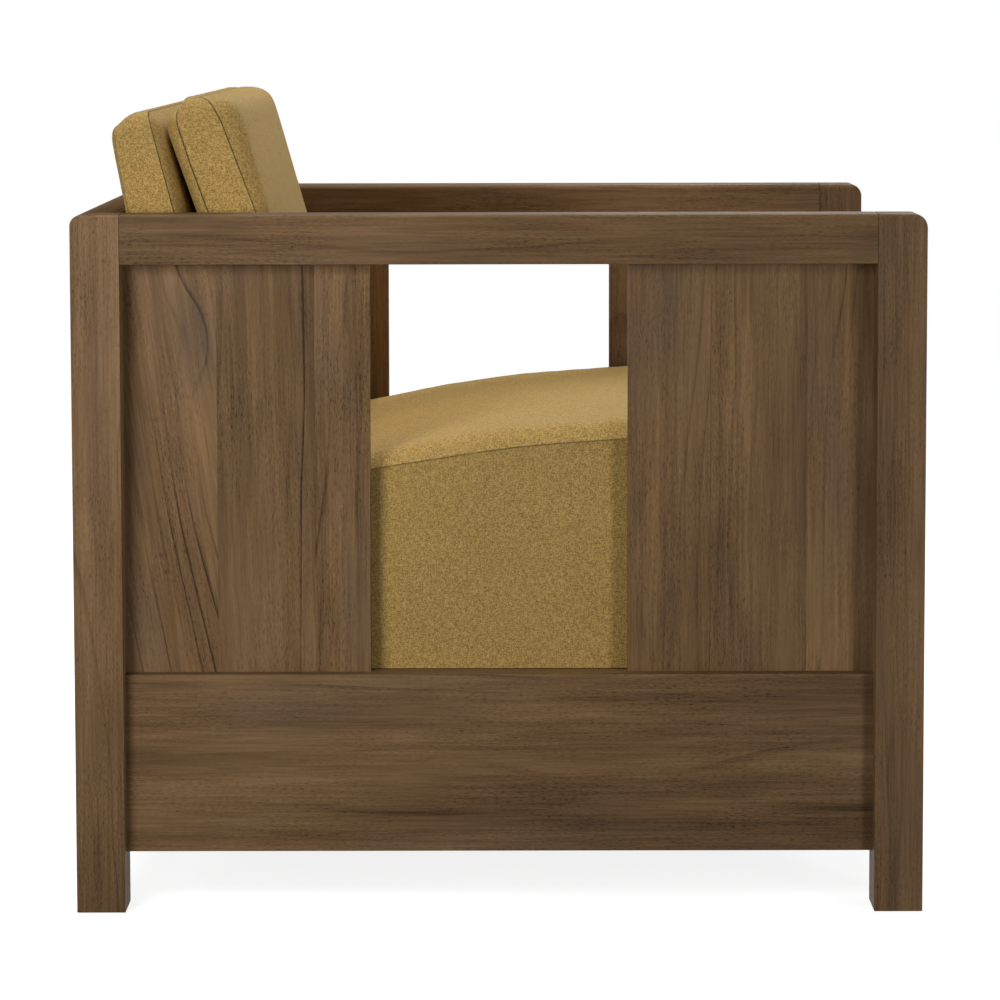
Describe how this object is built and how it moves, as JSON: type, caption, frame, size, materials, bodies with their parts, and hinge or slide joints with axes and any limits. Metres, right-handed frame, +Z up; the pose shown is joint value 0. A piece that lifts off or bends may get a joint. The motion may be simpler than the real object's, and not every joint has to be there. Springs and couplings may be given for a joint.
{
  "type": "armchair",
  "caption": "Low, deep lounge armchair: wooden box frame with plank side panels and open side windows, slatted deck, thick wedge seat cushion and two loose back cushions.",
  "frame": {"origin": "on the floor, under the middle of the frame's footprint", "axes": "+Z up, -Y towards the chair's front, -X towards the sitter's right"},
  "size_m": [0.76, 0.84, 0.8126],
  "materials": {
    "frame_wood": "matt oiled, weathered brown",
    "deck_wood": "bare, planed",
    "fastener_steel": "zinc plated",
    "glide_nylon": "matt",
    "cushion_fabric": "plain linen-look weave",
    "cushion_foam": "open-cell foam",
    "cushion_zip": "woven tape with coil teeth"
  },
  "bodies": {
    "frame": {"leg_rear_right": "frame_wood", "leg_front_right": "frame_wood", "leg_rear_left": "frame_wood", "leg_front_left": "frame_wood", "arm_right": "frame_wood", "arm_left": "frame_wood", "side_rail_right": "frame_wood", "side_rail_left": "frame_wood", "front_rail": "frame_wood", "back_lower_rail": "frame_wood", "back_top_rail": "frame_wood", "side_board_right_rear_1": "frame_wood", "side_board_right_rear_2": "frame_wood", "side_board_right_rear_3": "frame_wood", "side_board_right_front_1": "frame_wood", "side_board_right_front_2": "frame_wood", "side_board_right_front_3": "frame_wood", "side_board_left_rear_1": "frame_wood", "side_board_left_rear_2": "frame_wood", "side_board_left_rear_3": "frame_wood", "side_board_left_front_1": "frame_wood", "side_board_left_front_2": "frame_wood", "side_board_left_front_3": "frame_wood", "back_board_right_1": "frame_wood", "back_board_right_2": "frame_wood", "back_board_right_3": "frame_wood", "back_board_left_1": "frame_wood", "back_board_left_2": "frame_wood", "back_board_left_3": "frame_wood", "seat_cleat_right": "deck_wood", "seat_cleat_left": "deck_wood", "seat_bearer": "deck_wood", "seat_slat_1": "deck_wood", "seat_slat_2": "deck_wood", "seat_slat_3": "deck_wood", "seat_slat_4": "deck_wood", "seat_slat_5": "deck_wood", "seat_slat_6": "deck_wood", "seat_slat_7": "deck_wood", "corner_block_rear_right": "deck_wood", "corner_block_front_right": "deck_wood", "corner_block_rear_left": "deck_wood", "corner_block_front_left": "deck_wood", "corner_studs": "fastener_steel", "corner_washers": "fastener_steel", "corner_nuts": "fastener_steel", "slat_screws": "fastener_steel", "cleat_screws": "fastener_steel", "glide_nails": "fastener_steel", "floor_glides": "glide_nylon"},
    "seat_cushion": {"seat_cushion_cover": "cushion_fabric", "seat_cushion_foam": "cushion_foam", "seat_cushion_zip": "cushion_zip"},
    "rear_back_cushion": {"rear_cushion_cover": "cushion_fabric", "rear_cushion_foam": "cushion_foam", "rear_cushion_zip": "cushion_zip"},
    "front_back_cushion": {"front_cushion_cover": "cushion_fabric", "front_cushion_foam": "cushion_foam", "front_cushion_zip": "cushion_zip"}
  },
  "joints": [
    {"name": "seat_cushion_pull", "type": "slide", "parent": "frame", "child": "seat_cushion", "axis": [0, -0.9962, 0.0872], "range_m": [0, 0.8]},
    {"name": "rear_cushion_lift", "type": "slide", "parent": "frame", "child": "rear_back_cushion", "axis": [0, 0.2521, 0.9677], "range_m": [0, 0.42]},
    {"name": "front_cushion_lift", "type": "slide", "parent": "frame", "child": "front_back_cushion", "axis": [0, 0, 1], "range_m": [0, 0.42]}
  ]
}
